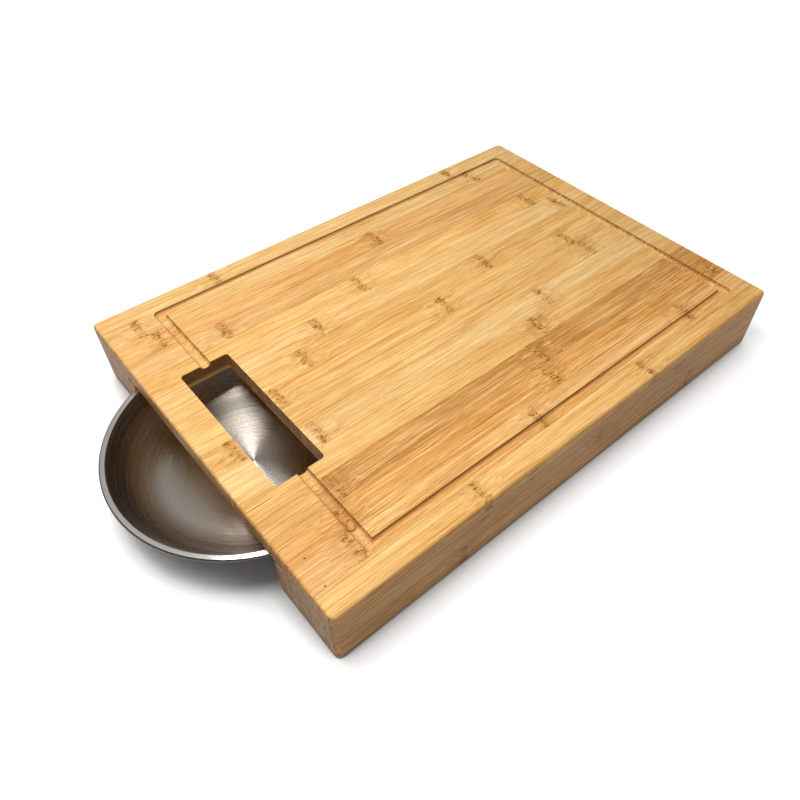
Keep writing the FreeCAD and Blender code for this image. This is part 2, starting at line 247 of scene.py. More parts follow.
add(tree, "ShaderNodeOutputWorld", {"Surface": sky})
bpy.context.scene.view_settings.view_transform = "Standard"
print("room:", len(tree.nodes), "nodes, from", ROOM_HORIZON, "to", ROOM_ZENITH)

# %% [markdown]
# ## Bamboo
# Laminated bamboo is sliced culm wall, steamed until it is honey coloured, planed into strips
# and pressed with glue. Three things tell the eye that it is bamboo and not timber: straight
# hair-fine fibres with no rings, a tick-marked knot every 15 to 30 cm where the culm had a node,
# and strips that differ a little in tone. One node group draws all three from Object
# coordinates, so the fibres run through a piece and come out as dots on its end grain.

# %% Bamboo node group: sockets and coordinates
FAR_AWAY_MM = 9000.0
# How far through the noise each strip lies from the one before, so that no two look alike.
SEED_STEP_MM = (211.0, 67.0, 41.0)

bamboo = bpy.data.node_groups.new("bamboo", "ShaderNodeTree")
# One input sets how much painted shade the routed walls get.
for name, kind in (("Seed", "Float"), ("Pale", "Color"), ("Deep", "Color"), ("Contrast", "Float"),
                   ("Knots", "Vector"), ("Smoke", "Float"), ("Strip", "Float"),
                   ("First length", "Float"), ("Flaw", "Vector"), ("Flaw size", "Vector"),
                   ("Wall shade", "Float"), ("Seams low", "Vector"), ("Seams high", "Vector")):
    bamboo.interface.new_socket(name, in_out="INPUT", socket_type=f"NodeSocket{kind}")
for name, kind in (("Color", "Color"), ("Roughness", "Float"), ("Height", "Float")):
    bamboo.interface.new_socket(name, in_out="OUTPUT", socket_type=f"NodeSocket{kind}")
given = add(bamboo, "NodeGroupInput").outputs
place = add(bamboo, "ShaderNodeVectorMath",
            {0: add(bamboo, "ShaderNodeTexCoord").outputs["Object"], "Scale": 1 / MM},
            operation="SCALE")
offset = add(bamboo, "ShaderNodeVectorMath", {0: SEED_STEP_MM, "Scale": given["Seed"]},
             operation="SCALE")
moved = add(bamboo, "ShaderNodeVectorMath", {0: place, 1: offset}, operation="ADD")
split = add(bamboo, "ShaderNodeSeparateXYZ", {"Vector": place}).outputs
normal = add(bamboo, "ShaderNodeSeparateXYZ",
             {"Vector": add(bamboo, "ShaderNodeNewGeometry").outputs["Normal"]}).outputs
upright = add(bamboo, "ShaderNodeMath", {0: normal["Z"]}, operation="ABSOLUTE")
print("bamboo group takes:", [socket.name for socket in given if socket.name])

# %% [markdown]
# ### Patches
# Everything in bamboo is longer along the fibre than across it. An image of wood would repeat and
# would show its edges, but noise that is stretched along the board works at any size and on any
# face. One loop makes the six patterns that the next cells share.

# %% Bamboo node group: patches of stretched noise
# Each pattern: the length, width and depth of its patches in mm, and its detail.
PATCHES = {
    "ragged": ((30.0, 4.0, 4.0), 2.0), "sway": ((80.0, 25.0, 25.0), 1.0),
    "swerve": ((11.0, 7.0, 7.0), 1.0), "worn": ((20.0, 7.0, 7.0), 1.0),
    "smoke": ((13.0, 8.0, 8.0), 2.0), "saw mark": ((30.0, 2.0, 15.0), 2.0),
}

patches = {}
for name, (size_mm, detail) in PATCHES.items():
    stretched = add(bamboo, "ShaderNodeVectorMath", {0: moved, 1: [1 / mm for mm in size_mm]},
                    operation="MULTIPLY")
    patches[name] = add(bamboo, "ShaderNodeTexNoise",
                        {"Vector": stretched, "Scale": 1.0, "Detail": detail})
print("patches, mm long:", {name: size_mm[0] for name, (size_mm, _) in PATCHES.items()})

# %% [markdown]
# ### Knots
# A culm is closed by a wall at each node, which leaves a ragged band of short brown ticks across
# the strip. A distance is enough to draw it: each strip takes up to three places for its knots,
# the group measures how far each point lies from the nearest one, and the band, the swerve of
# the fibres and the smoke round the knot all follow that distance.

# %% Bamboo node group: how far to the nearest knot
RAGGED_MM = 9.0
# Where the fibres start to swerve for a knot, and where they swerve most.
SWERVE_STARTS_MM, SWERVE_FULL_MM = 26.0, 3.0
# Where a lighter first length ends, measured from its knot.
LENGTH_ENDS_MM, LENGTH_FULL_MM = -3.0, 6.0

edge = add(bamboo, "ShaderNodeMath", {0: patches["ragged"], 1: RAGGED_MM, 2: -RAGGED_MM / 2},
           operation="MULTIPLY_ADD")
along = add(bamboo, "ShaderNodeMath", {0: split["X"], 1: edge}, operation="ADD")
knots = add(bamboo, "ShaderNodeSeparateXYZ", {"Vector": given["Knots"]}).outputs
nearest = None
for axis in "XYZ":
    gap = add(bamboo, "ShaderNodeMath", {0: along, 1: knots[axis]}, operation="SUBTRACT")
    gap = add(bamboo, "ShaderNodeMath", {0: gap}, operation="ABSOLUTE")
    nearest = gap if nearest is None else add(bamboo, "ShaderNodeMath", {0: nearest, 1: gap},
                                              operation="MINIMUM")
around = add(bamboo, "ShaderNodeMapRange",
             {"Value": nearest, "From Min": SWERVE_STARTS_MM, "From Max": SWERVE_FULL_MM},
             interpolation_type="SMOOTHSTEP")

# The length before the first knot can be lighter than the rest: each internode has its own tone.
before = add(bamboo, "ShaderNodeMath", {0: knots["X"], 1: along}, operation="SUBTRACT")
before = add(bamboo, "ShaderNodeMapRange",
             {"Value": before, "From Min": LENGTH_ENDS_MM, "From Max": LENGTH_FULL_MM})
before = add(bamboo, "ShaderNodeMath", {0: before, 1: given["First length"]}, operation="MULTIPLY")
print("knots: ragged by", RAGGED_MM, "mm, fibres swerve within", SWERVE_STARTS_MM, "mm")

# %% [markdown]
# ### Fibres
# The fibres are straight hairs, mostly under a millimetre wide, that fade and come back along the
# strip. A Wave texture would draw them too evenly, so five layers of stretched noise, from flecks
# to broad clouds, add up to one tone that mixes a pale and a deep colour. Two more layers draw
# single dark and pale lines.

# %% Bamboo node group: fibres, which swerve at a knot
SWAY_MM, SWERVE_MM = 2.5, 2.6
# Each grain: length and width in mm, detail, and how much it moves the tone.
GRAINS = {"fleck": (9.0, 0.7, 1.0, 0.9), "fibre": (40.0, 0.8, 1.0, 1.6),
          "streak": (95.0, 1.7, 1.0, 1.4), "band": (170.0, 5.0, 1.0, 1.0),
          "cloud": (80.0, 20.0, 2.0, 0.8), "dark line": (60.0, 0.9, 1.0, 0.0),
          "pale line": (50.0, 0.8, 1.0, 0.0)}
# How far apart the grains are taken from the noise, so that they don't repeat one another.
GRAINS_APART = 17.0

sway = add(bamboo, "ShaderNodeVectorMath",
           {0: patches["sway"].outputs["Color"], 1: (0.0, SWAY_MM, SWAY_MM)}, operation="MULTIPLY")
swerve = add(bamboo, "ShaderNodeVectorMath",
             {0: patches["swerve"].outputs["Color"], 1: (0.0, SWERVE_MM, SWERVE_MM)},
             operation="MULTIPLY")
swerve = add(bamboo, "ShaderNodeVectorMath", {0: swerve, "Scale": around}, operation="SCALE")
swayed = add(bamboo, "ShaderNodeVectorMath", {0: moved, 1: sway}, operation="ADD")
swayed = add(bamboo, "ShaderNodeVectorMath", {0: swayed, 1: swerve}, operation="ADD")
grains = {}
tone = 0.0
for name, (length, width, detail, weight) in GRAINS.items():
    scaled = add(bamboo, "ShaderNodeVectorMath", {0: swayed, 1: (1 / length, 1 / width, 1 / width)},
                 operation="MULTIPLY")
    shifted = add(bamboo, "ShaderNodeVectorMath",
                  {0: scaled, 1: (0.0, 0.0, GRAINS_APART * len(grains))}, operation="ADD")
    grains[name] = add(bamboo, "ShaderNodeTexNoise",
                       {"Vector": shifted, "Scale": 1.0, "Detail": detail})
    if weight:
        centred = add(bamboo, "ShaderNodeMath", {0: grains[name], 1: 0.5}, operation="SUBTRACT")
        tone = add(bamboo, "ShaderNodeMath", {0: centred, 1: weight, 2: tone},
                   operation="MULTIPLY_ADD")
print("grains, mm wide:", {name: grain[1] for name, grain in GRAINS.items()})

# %% Bamboo node group: tone and lines of the grain
# A face counts as a flank from this steepness, and fully when it is upright.
FLANK_STARTS, FLANK_FULL = 0.7, 0.0
SAWN_CONTRAST = 1.8
LINE_STARTS, LINE_FULL = 0.58, 0.67

# The sawn sides and ends show the fibres more strongly than the planed top.
rougher = add(bamboo, "ShaderNodeMapRange",
              {"Value": upright, "From Min": FLANK_STARTS, "From Max": FLANK_FULL, "To Min": 1.0,
               "To Max": SAWN_CONTRAST})
contrast = add(bamboo, "ShaderNodeMath", {0: given["Contrast"], 1: rougher}, operation="MULTIPLY")
tone = add(bamboo, "ShaderNodeMath", {0: tone, 1: contrast, 2: 0.5}, operation="MULTIPLY_ADD")
tone = add(bamboo, "ShaderNodeMath", {0: tone, 1: before}, operation="ADD")
wood = add(bamboo, "ShaderNodeMix",
           {"Factor_Float": tone, "A_Color": given["Deep"], "B_Color": given["Pale"]},
           data_type="RGBA", clamp_factor=False)
lines = {}
for name in ("dark line", "pale line"):
    line = add(bamboo, "ShaderNodeMapRange",
               {"Value": grains[name], "From Min": LINE_STARTS, "From Max": LINE_FULL})
    lines[name] = add(bamboo, "ShaderNodeMath", {0: line, 1: contrast}, operation="MULTIPLY")
print("lines of the grain:", list(lines))

# %% Bamboo node group: the knot itself
KNOT_HALF_MM = 5.4
KNOT_CORE = 0.35
WORN_STARTS, WORN_FULL, WORN_LEFT = 0.30, 0.55, 0.35
SMOKE_STARTS, SMOKE_FULL = 0.40, 0.65
# Each kind of fleck in a knot: its length and width in mm, where it starts and where it is full.
FLECKS = {"dark": (3.4, 1.9, 0.47, 0.58), "pale": (4.0, 1.2, 0.54, 0.64)}
FLECKS_APART = 23.0

band = add(bamboo, "ShaderNodeMapRange",
           {"Value": nearest, "From Min": KNOT_HALF_MM, "From Max": KNOT_HALF_MM * KNOT_CORE},
           interpolation_type="SMOOTHSTEP")
worn = add(bamboo, "ShaderNodeMapRange",
           {"Value": patches["worn"], "From Min": WORN_STARTS, "From Max": WORN_FULL,
            "To Min": WORN_LEFT})
band = add(bamboo, "ShaderNodeMath", {0: band, 1: worn}, operation="MULTIPLY")
flecks = {}
for name, (length, width, starts, full) in FLECKS.items():
    fleck = add(bamboo, "ShaderNodeVectorMath", {0: moved, 1: (1 / length, 1 / width, 1 / width)},
                operation="MULTIPLY")
    fleck = add(bamboo, "ShaderNodeVectorMath",
                {0: fleck, 1: (0.0, 0.0, FLECKS_APART * len(flecks))}, operation="ADD")
    fleck = add(bamboo, "ShaderNodeTexNoise",
                {"Vector": fleck, "Scale": 1.0, "Detail": 2.0, "Distortion": 0.4})
    fleck = add(bamboo, "ShaderNodeMapRange",
                {"Value": fleck, "From Min": starts, "From Max": full})
    flecks[name] = add(bamboo, "ShaderNodeMath", {0: fleck, 1: band}, operation="MULTIPLY")
smoke = add(bamboo, "ShaderNodeMapRange",
            {"Value": patches["smoke"], "From Min": SMOKE_STARTS, "From Max": SMOKE_FULL})
smoke = add(bamboo, "ShaderNodeMath", {0: smoke, 1: around}, operation="MULTIPLY")
smoke = add(bamboo, "ShaderNodeMath", {0: smoke, 1: given["Smoke"]}, operation="MULTIPLY")
print("a knot is", 2 * KNOT_HALF_MM, "mm long, with flecks", list(flecks))

# %% [markdown]
# ### Glue lines, end grain and shade on routed walls
# The strips are pressed so tightly that a glue line is only a hair of darker brown, too fine to
# model. Each piece is told where its neighbours start, and draws a line there. On end grain the
# fibres are cut across, so it is darker and shows the saw. The walls that a router cut get painted
# shade.

# %% Bamboo node group: flaws and glue lines
FLAW_CORE = 0.6
SEAM_MM = 0.16
# A seam between plies is drawn twice as wide as one between staves.
SEAM_SHARE = {"Y": 1.0, "Z": 0.5}
# A face that lies in the seam's own plane is pushed this far from it, and shows no line.
FACE_ON_MM = 90.0

# A crack or a pore: a dark lozenge round one point.
flaw = add(bamboo, "ShaderNodeVectorMath", {0: place, 1: given["Flaw"]}, operation="SUBTRACT")
flaw = add(bamboo, "ShaderNodeVectorMath", {0: flaw, 1: given["Flaw size"]}, operation="DIVIDE")
flaw = add(bamboo, "ShaderNodeVectorMath", {0: flaw}, operation="LENGTH").outputs["Value"]
flaw = add(bamboo, "ShaderNodeMapRange", {"Value": flaw, "From Min": 1.0, "From Max": FLAW_CORE})

seam = None
for side in ("Seams low", "Seams high"):
    planes = add(bamboo, "ShaderNodeVectorMath", {0: place, 1: given[side]}, operation="SUBTRACT")
    planes = add(bamboo, "ShaderNodeVectorMath", {0: planes}, operation="ABSOLUTE")
    gaps = add(bamboo, "ShaderNodeSeparateXYZ", {"Vector": planes}).outputs
    for axis, share in SEAM_SHARE.items():
        face_on = add(bamboo, "ShaderNodeMath", {0: normal[axis]}, operation="ABSOLUTE")
        near = add(bamboo, "ShaderNodeMath", {0: gaps[axis], 1: share}, operation="MULTIPLY")
        gap = add(bamboo, "ShaderNodeMath", {0: face_on, 1: FACE_ON_MM, 2: near},
                  operation="MULTIPLY_ADD")
        seam = gap if seam is None else add(bamboo, "ShaderNodeMath", {0: seam, 1: gap},
                                            operation="MINIMUM")
seam = add(bamboo, "ShaderNodeMapRange",
           {"Value": seam, "From Min": SEAM_MM * 2, "From Max": SEAM_MM * 0.5})
seam = add(bamboo, "ShaderNodeMath", {0: seam, 1: rougher}, operation="MULTIPLY")
print("glue line, mm:", SEAM_MM)

# %% Bamboo node group: end grain and routed walls
GROOVE_INSET_MM = 12.0
END_STARTS, END_FULL = 0.6, 0.95
SAW_STARTS, SAW_FULL = 0.42, 0.66
STEEP_STARTS, STEEP_FULL = 0.80, 0.35
# How much painted shade a routed wall has where it faces away from the near side, and which way
# is full.
AWAY_SHARE, TOWARDS_FULL = 0.30, -0.8

end_grain = add(bamboo, "ShaderNodeMath", {0: normal["X"]}, operation="ABSOLUTE")
end_grain = add(bamboo, "ShaderNodeMapRange",
                {"Value": end_grain, "From Min": END_STARTS, "From Max": END_FULL})
saw_mark = add(bamboo, "ShaderNodeMapRange",
               {"Value": patches["saw mark"], "From Min": SAW_STARTS, "From Max": SAW_FULL})
saw_mark = add(bamboo, "ShaderNodeMath", {0: saw_mark, 1: end_grain}, operation="MULTIPLY")

# The walls that a router cut, in the groove and the cut-out, get painted shade. They are the
# steep faces inside the deck's outline, and the ones that face the near side are darkest.
outline_mm = [size / MM - GROOVE_INSET_MM for size in board_high.xy]
inset = add(bamboo, "ShaderNodeVectorMath", {0: place}, operation="ABSOLUTE")
inset = add(bamboo, "ShaderNodeVectorMath", {0: (*outline_mm, FAR_AWAY_MM), 1: inset},
            operation="SUBTRACT")
inset = add(bamboo, "ShaderNodeSeparateXYZ", {"Vector": inset}).outputs
inset = add(bamboo, "ShaderNodeMath", {0: inset["X"], 1: inset["Y"]}, operation="MINIMUM")
inset = add(bamboo, "ShaderNodeMath", {0: inset, 1: 0.0}, operation="GREATER_THAN")
steep = add(bamboo, "ShaderNodeMapRange",
            {"Value": normal["Z"], "From Min": STEEP_STARTS, "From Max": STEEP_FULL})
steep = add(bamboo, "ShaderNodeMath", {0: steep, 1: inset}, operation="MULTIPLY")
towards = add(bamboo, "ShaderNodeMapRange",
              {"Value": normal["Y"], "From Min": 0.0, "From Max": TOWARDS_FULL,
               "To Min": AWAY_SHARE})
routed = add(bamboo, "ShaderNodeMath", {0: steep, 1: towards}, operation="MULTIPLY")
routed = add(bamboo, "ShaderNodeMath", {0: routed, 1: given["Wall shade"]}, operation="MULTIPLY")
print("routed walls lie inside, mm:", [round(size, 1) for size in outline_mm])

# %% [markdown]
# ### Painted shade on flanks, foot and rounded edges
# The sides get a painted warm shade, the foot a painted contact shadow, and the rounded edges a
# browner painted shade. A second material on the side faces would end in a hard edge. The
# direction that a face looks in gives the same masks with soft edges, and no piece needs more
# than one slot.

# %% Bamboo node group: painted shade on flanks, foot and rounded edges
# Where the painted contact shadow at the foot starts and is full, in mm of height.
FOOT_SHADE_STARTS_MM, FOOT_SHADE_FULL_MM = 11.0, 0.5
# The rounded edges are neither level nor upright: where they start and are full on each side.
LEVEL_STARTS, LEVEL_FULL = 0.97, 0.75
UPRIGHT_STARTS, UPRIGHT_FULL = 0.05, 0.45

# The flanks get a painted warm shade, deeper than the planed top, and a painted contact shadow
# that is darkest at the foot. The rounded outer edges get a browner painted shade.
# Painted warm shade on the upright faces.
flank_shade = add(bamboo, "ShaderNodeMapRange",
            {"Value": upright, "From Min": FLANK_STARTS, "From Max": FLANK_FULL})
# A painted contact shadow on the upright faces, darkest at the bottom.
foot = add(bamboo, "ShaderNodeMapRange",
           {"Value": split["Z"], "From Min": FOOT_SHADE_STARTS_MM, "From Max": FOOT_SHADE_FULL_MM})
foot = add(bamboo, "ShaderNodeMath", {0: foot, 1: flank_shade}, operation="MULTIPLY")
# Painted shade on the rounded outer edges, which lie between level and upright.
rounded_edge_shade = add(bamboo, "ShaderNodeMapRange",
             {"Value": upright, "From Min": LEVEL_STARTS, "From Max": LEVEL_FULL})
lower = add(bamboo, "ShaderNodeMapRange",
            {"Value": upright, "From Min": UPRIGHT_STARTS, "From Max": UPRIGHT_FULL})
rounded_edge_shade = add(bamboo, "ShaderNodeMath", {0: rounded_edge_shade, 1: lower}, operation="MULTIPLY")
outer = add(bamboo, "ShaderNodeMath", {0: 1.0, 1: inset}, operation="SUBTRACT")
rounded_edge_shade = add(bamboo, "ShaderNodeMath", {0: rounded_edge_shade, 1: outer}, operation="MULTIPLY")
print("the foot darkens below", FOOT_SHADE_STARTS_MM, "mm")

# %% [markdown]
# ### Tints
# Every mask so far is a share from 0 to 1. The tints go over the wood one after another: the
# lines of the grain first, then the painted warm shade of the flanks, the knots, the cut faces,
# the painted shade of the rounded edges, the glue, and the painted shade of the routed walls and
# the foot. A table of share, mask and colour keeps that order in view, and one loop makes the
# stack.

# %% Bamboo node group: put together
# How much a narrow strip differs from its neighbours.
STRIP_DARKEST, STRIP_LIGHTEST = 0.86, 1.06
OILED_SMOOTH, OILED_ROUGH = 0.42, 0.60
FLECK_DEPTH = -0.4
# Each tint that is laid over the wood, in order: its share, where it shows, and its colour. The
# tints on the flanks, rounded edges, routed walls and foot are painted shade.
TINTS = (
    (0.50, lines["dark line"], "#bb7d3c"), (0.45, lines["pale line"], "#ffdc98"),
    (0.25, flank_shade, "#ea9c58"), (0.58, smoke, "#a0682a"), (0.52, band, "#c2822f"),
    (0.40, flecks["pale"], "#ffdc9a"), (0.80, flecks["dark"], "#84480a"), (0.95, flaw, "#4a2c14"),
    (0.42, end_grain, "#9c7448"), (0.75, saw_mark, "#6e4c28"), (0.25, rounded_edge_shade, "#b0702e"),
    (0.45, seam, "#74461e"), (0.85, routed, "#6e441e"), (0.45, foot, "#5a3c20"),
)

strip_number = add(bamboo, "ShaderNodeMath", {0: split["Y"], 1: given["Strip"]}, operation="DIVIDE")
strip_number = add(bamboo, "ShaderNodeMath", {0: strip_number}, operation="FLOOR")
strip_tone = add(bamboo, "ShaderNodeTexWhiteNoise", {"W": strip_number}, noise_dimensions="1D")
strip_tone = add(bamboo, "ShaderNodeMapRange",
                 {"Value": strip_tone, "To Min": STRIP_DARKEST, "To Max": STRIP_LIGHTEST})
colour = add(bamboo, "ShaderNodeVectorMath", {0: wood, "Scale": strip_tone}, operation="SCALE")
for amount, mask, tint in TINTS:
    share = add(bamboo, "ShaderNodeMath", {0: mask, 1: amount}, operation="MULTIPLY",
                use_clamp=True)
    colour = add(bamboo, "ShaderNodeMix",
                 {"Factor_Float": share, "A_Color": colour, "B_Color": linear(tint)},
                 data_type="RGBA")
roughness = add(bamboo, "ShaderNodeMapRange",
                {"Value": grains["fibre"], "To Min": OILED_SMOOTH, "To Max": OILED_ROUGH})
relief = add(bamboo, "ShaderNodeMath", {0: flecks["dark"], 1: FLECK_DEPTH, 2: grains["fibre"]},
             operation="MULTIPLY_ADD")
add(bamboo, "NodeGroupOutput", {"Color": colour, "Roughness": roughness, "Height": relief})
print("bamboo group:", len(bamboo.nodes), "nodes,", len(TINTS), "tints")

# %% [markdown]
# ## Dressing the board
# Each piece gets its own material around the shared group, because each strip came from another
# culm. The seed moves the pattern, two hex colours set the tone, and the knots are given as
# distances from the bowl end. The two halves of a divided stave share a seed, so their grain
# runs on across the cut-out. A few pieces also have a flaw: a hairline crack, a pore or a dark
# mark.

# %% Shades and flaws
# Each shade: the pale and the deep end of its grain, and the grain's contrast.
SHADES = {
    "pale": ("#fad492", "#e0a65c", 1.0),
    "honey": ("#f6ca80", "#d8994d", 1.0),
    "amber": ("#f3c07c", "#d29349", 1.1),
    "toast": ("#e6ac63", "#c08038", 1.25),
    "core": ("#f6cb8a", "#dba25a", 0.8),
    "rail": ("#eec184", "#c48d4b", 1.0),
}
# How much lighter the length before the first knot is, on the staves where it shows.
FIRST_LENGTH = {3: 0.15, 4: 0.42, 7: 0.22, 8: 0.25, 10: 0.25, 12: 0.55, 13: 0.20}
# Each flaw: its middle and its half sizes, in mm in the board's frame.
FLAWS = {
    "deck_stave_11": ((-239.0, -76.7, 63.0), (16.0, 0.35, 2.0)),
    "deck_stave_13": ((-237.5, -131.7, 63.0), (1.0, 0.8, 2.0)),
    "deck_stave_14": ((-238.7, -156.7, 63.0), (0.9, 0.8, 2.0)),
    "deck_stave_15": ((-68.0, -179.0, 57.0), (8.0, 2.0, 0.8)),
    "core_sheet": ((117.0, -179.0, 50.0), (9.0, 2.0, 0.8)),
    "middle_rail_near": ((-116.0, -179.0, 44.5), (7.0, 2.0, 0.8)),
}
print("shades of bamboo:", list(SHADES))

# %% A bamboo material
FIBRE_RELIEF_MM = 0.04
RELIEF_STRENGTH = 0.6
OIL_IOR = 1.48
OIL_SPECULAR = 0.22
# How much painted shade a routed wall gets: most in the deck, less in the plies under it.
DECK_WALL_SHADE, LOWER_WALL_SHADE = 1.0, 0.4
NO_FLAW = ((FAR_AWAY_MM, 0.0, 0.0), (1.0, 1.0, 1.0))
MOST_KNOTS = 3


def bamboo_material(name, shade, light, seed, knots_mm, smoke, strip_mm, seams):
    """The bamboo group with one strip's colours, knots and glue lines, under a satin oil finish."""
    material = bpy.data.materials.new(f"oiled bamboo, {name}")
    material.use_nodes = True
    tree = material.node_tree
    tree.nodes.clear()
    knots = [board_low.x / MM + knot for knot in knots_mm]
    knots += [FAR_AWAY_MM] * (MOST_KNOTS - len(knots))
    pale, deep, contrast = SHADES[shade]
    pale, deep = ([channel * light for channel in linear(tint)[:3]] + [1.0]
                  for tint in (pale, deep))
    flaw, flaw_size = FLAWS.get(name, NO_FLAW)
    settings = {"Seed": seed, "Pale": pale, "Deep": deep, "Contrast": contrast, "Knots": knots,
                "Smoke": smoke, "Strip": strip_mm, "First length": FIRST_LENGTH.get(seed, 0.0),
                "Flaw": flaw, "Flaw size": flaw_size,
                "Wall shade": DECK_WALL_SHADE if name.startswith("deck") else LOWER_WALL_SHADE,
                "Seams low": seams[0], "Seams high": seams[1]}
    strip = add(tree, "ShaderNodeGroup", node_tree=bamboo)
    for socket, value in settings.items():
        strip.inputs[socket].default_value = value
    bump = add(tree, "ShaderNodeBump",
               {"Height": strip.outputs["Height"], "Distance": FIBRE_RELIEF_MM * MM,
                "Strength": RELIEF_STRENGTH})
    finish = add(tree, "ShaderNodeBsdfPrincipled",
                 {"Base Color": strip.outputs["Color"], "Roughness": strip.outputs["Roughness"],
                  "Normal": bump, "IOR": OIL_IOR, "Specular IOR Level": OIL_SPECULAR})
    add(tree, "ShaderNodeOutputMaterial", {"Surface": finish})
    return material


print("oil finish: IOR", OIL_IOR, "over a relief of", FIBRE_RELIEF_MM, "mm")

# %% Where a piece is glued
def seam_planes(node):
    """The Y and Z planes, in mm, where a piece meets its neighbours inside the board."""
    planes = []
    for corner, outer in zip(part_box(node), (board_low, board_high)):
        plane = [FAR_AWAY_MM] * 3
        for axis in (1, 2):
            if abs(corner[axis] - outer[axis]) > MM:
                plane[axis] = corner[axis] / MM
        planes.append(plane)
    return planes


glued_at = [round(plane[2], 1) for plane in seam_planes("core_sheet")]
print("the core sheet is glued at, mm:", glued_at)

# %% Staves, sheet, rails and blocks
# Each stave, from the far side: its shade, how light it is in that shade, its knots in mm from
# the bowl end, and their smoke.
STAVES = (
    ("pale", 0.98, (114, 405), 0.3), ("pale", 0.94, (28, 423), 0.2),
    ("amber", 1.02, (37, 268), 0.8), ("amber", 0.92, (85,), 0.4),
    ("honey", 1.03, (213, 437), 0.3), ("pale", 0.97, (150, 459), 0.3),
    ("honey", 0.95, (118, 326), 0.3), ("honey", 1.01, (77, 254, 418), 0.3),
    ("honey", 1.02, (23, 422), 0.4), ("pale", 1.01, (81, 333), 0.3),
    ("honey", 1.04, (300,), 0.9), ("toast", 0.97, (62, 273), 1.0),
    ("toast", 1.18, (50, 263, 490), 0.7), ("amber", 1.10, (43, 222, 417), 0.5),
    ("honey", 1.10, (138, 330), 0.4),
)
# Each lower piece: its shade, its light, its knots in mm from the bowl end, and how wide its
# narrow strips are, where it has any.
LOWER = {
    "core_sheet": ("core", 1.00, (182, 367), FAR_AWAY_MM),
    "middle_rail_near": ("rail", 1.00, (265,), FAR_AWAY_MM),
    "middle_rail_far": ("rail", 1.18, (160, 410), FAR_AWAY_MM),
    "middle_end_block": ("rail", 1.00, (300, 455), FAR_AWAY_MM),
    "bottom_rail_near": ("rail", 1.14, (115, 396), 8.5),
    "bottom_rail_far": ("rail", 1.12, (210, 352), 8.5),
    "bottom_end_block": ("rail", 1.00, (340, 470), 8.5),
}
LOWER_SEED = 20
LOWER_SMOKE = 0.4


def dress(node, material):
    """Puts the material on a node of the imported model, in the slot that its mesh uses."""
    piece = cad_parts[node]
    for slot in piece.material_slots:
        slot.material = material


for number, (shade, light, knots, smoke) in enumerate(STAVES, start=1):
    for node in [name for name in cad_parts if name.startswith(f"deck_stave_{number:02d}")]:
        dress(node, bamboo_material(node, shade, light, number, knots, smoke, FAR_AWAY_MM,
                                    seam_planes(node)))
for number, (node, (shade, light, knots, strip_mm)) in enumerate(LOWER.items(), LOWER_SEED):
    dress(node, bamboo_material(node, shade, light, number, knots, LOWER_SMOKE, strip_mm,
                                seam_planes(node)))
print("dressed:", len(STAVES), "staves and", len(LOWER), "lower pieces")

# %% [markdown]
# ## The bowl
# A bowl like this is spun from a steel disc: a flat base, a wide round corner, a leaning wall,
# and a narrow flange whose edge is turned down. It could be a revolved curve or a Screw modifier,
# but a small Geometry Nodes lathe keeps its sizes as named inputs, rounds each corner of the
# section by its own radius, and lays out a UV map that runs round the bowl, which the brushed
# finish needs for its direction.

# %% Section of the bowl
SHEET = 0.8 * MM
FLANGE = 4.6 * MM
CORNER = 37.0 * MM
LEAN = math.radians(22.0)
BEND = 0.95 * MM
LIP = 3.2 * MM
EDGE = 0.25 * MM

wall = rim - FLANGE
top, bottom = bowl_high.z, bowl_low.z
floor_top = bottom + SHEET
foot = wall - (top - floor_top) * math.tan(LEAN)
outer_wall = wall + SHEET / math.cos(LEAN)
outer_foot = foot + SHEET * (1 / math.cos(LEAN) - math.tan(LEAN))

# Each point: distance from the axis, height, radius of its bend, facets in the bend. The foot
# is where the leaning wall would meet the base if their corner were sharp.
section_points = (
    (0.0, floor_top, 0.0, 1),
    (foot, floor_top, CORNER, 28),
    (wall, top, BEND, 6),
    (rim, top, BEND, 6),
    (rim, top - LIP, EDGE, 2),
    (rim - SHEET, top - LIP, EDGE, 2),
    (rim - SHEET, top - SHEET, BEND - SHEET, 4),
    (outer_wall - SHEET * math.tan(LEAN), top - SHEET, BEND - SHEET, 4),
    (outer_foot, bottom, CORNER + SHEET, 28),
    (0.0, bottom, 0.0, 1),
)
section_mesh = bpy.data.meshes.new("bowl section")
section_mesh.from_pydata([(r, 0.0, z) for r, z, _, _ in section_points],
                         [(i, i + 1) for i in range(len(section_points) - 1)], [])
bend_radius = section_mesh.attributes.new("bend_radius", "FLOAT", "POINT")
bend_facets = section_mesh.attributes.new("bend_facets", "INT", "POINT")
for index, (_, _, radius, facets) in enumerate(section_points):
    bend_radius.data[index].value = radius
    bend_facets.data[index].value = facets
print("bowl: rim radius", round(rim / MM, 1), "mm, depth", round((top - floor_top) / MM, 1), "mm")

# %% The lathe
DOUBLES = 0.01 * MM

lathe = bpy.data.node_groups.new("lathe", "GeometryNodeTree")
for name, kind in (("Section", "NodeSocketGeometry"), ("Columns", "NodeSocketInt"),
                   ("Axis", "NodeSocketVector"), ("Material", "NodeSocketMaterial")):
    lathe.interface.new_socket(name, in_out="INPUT", socket_type=kind)
lathe.interface.new_socket("Turned", in_out="OUTPUT", socket_type="NodeSocketGeometry")
given = add(lathe, "NodeGroupInput").outputs

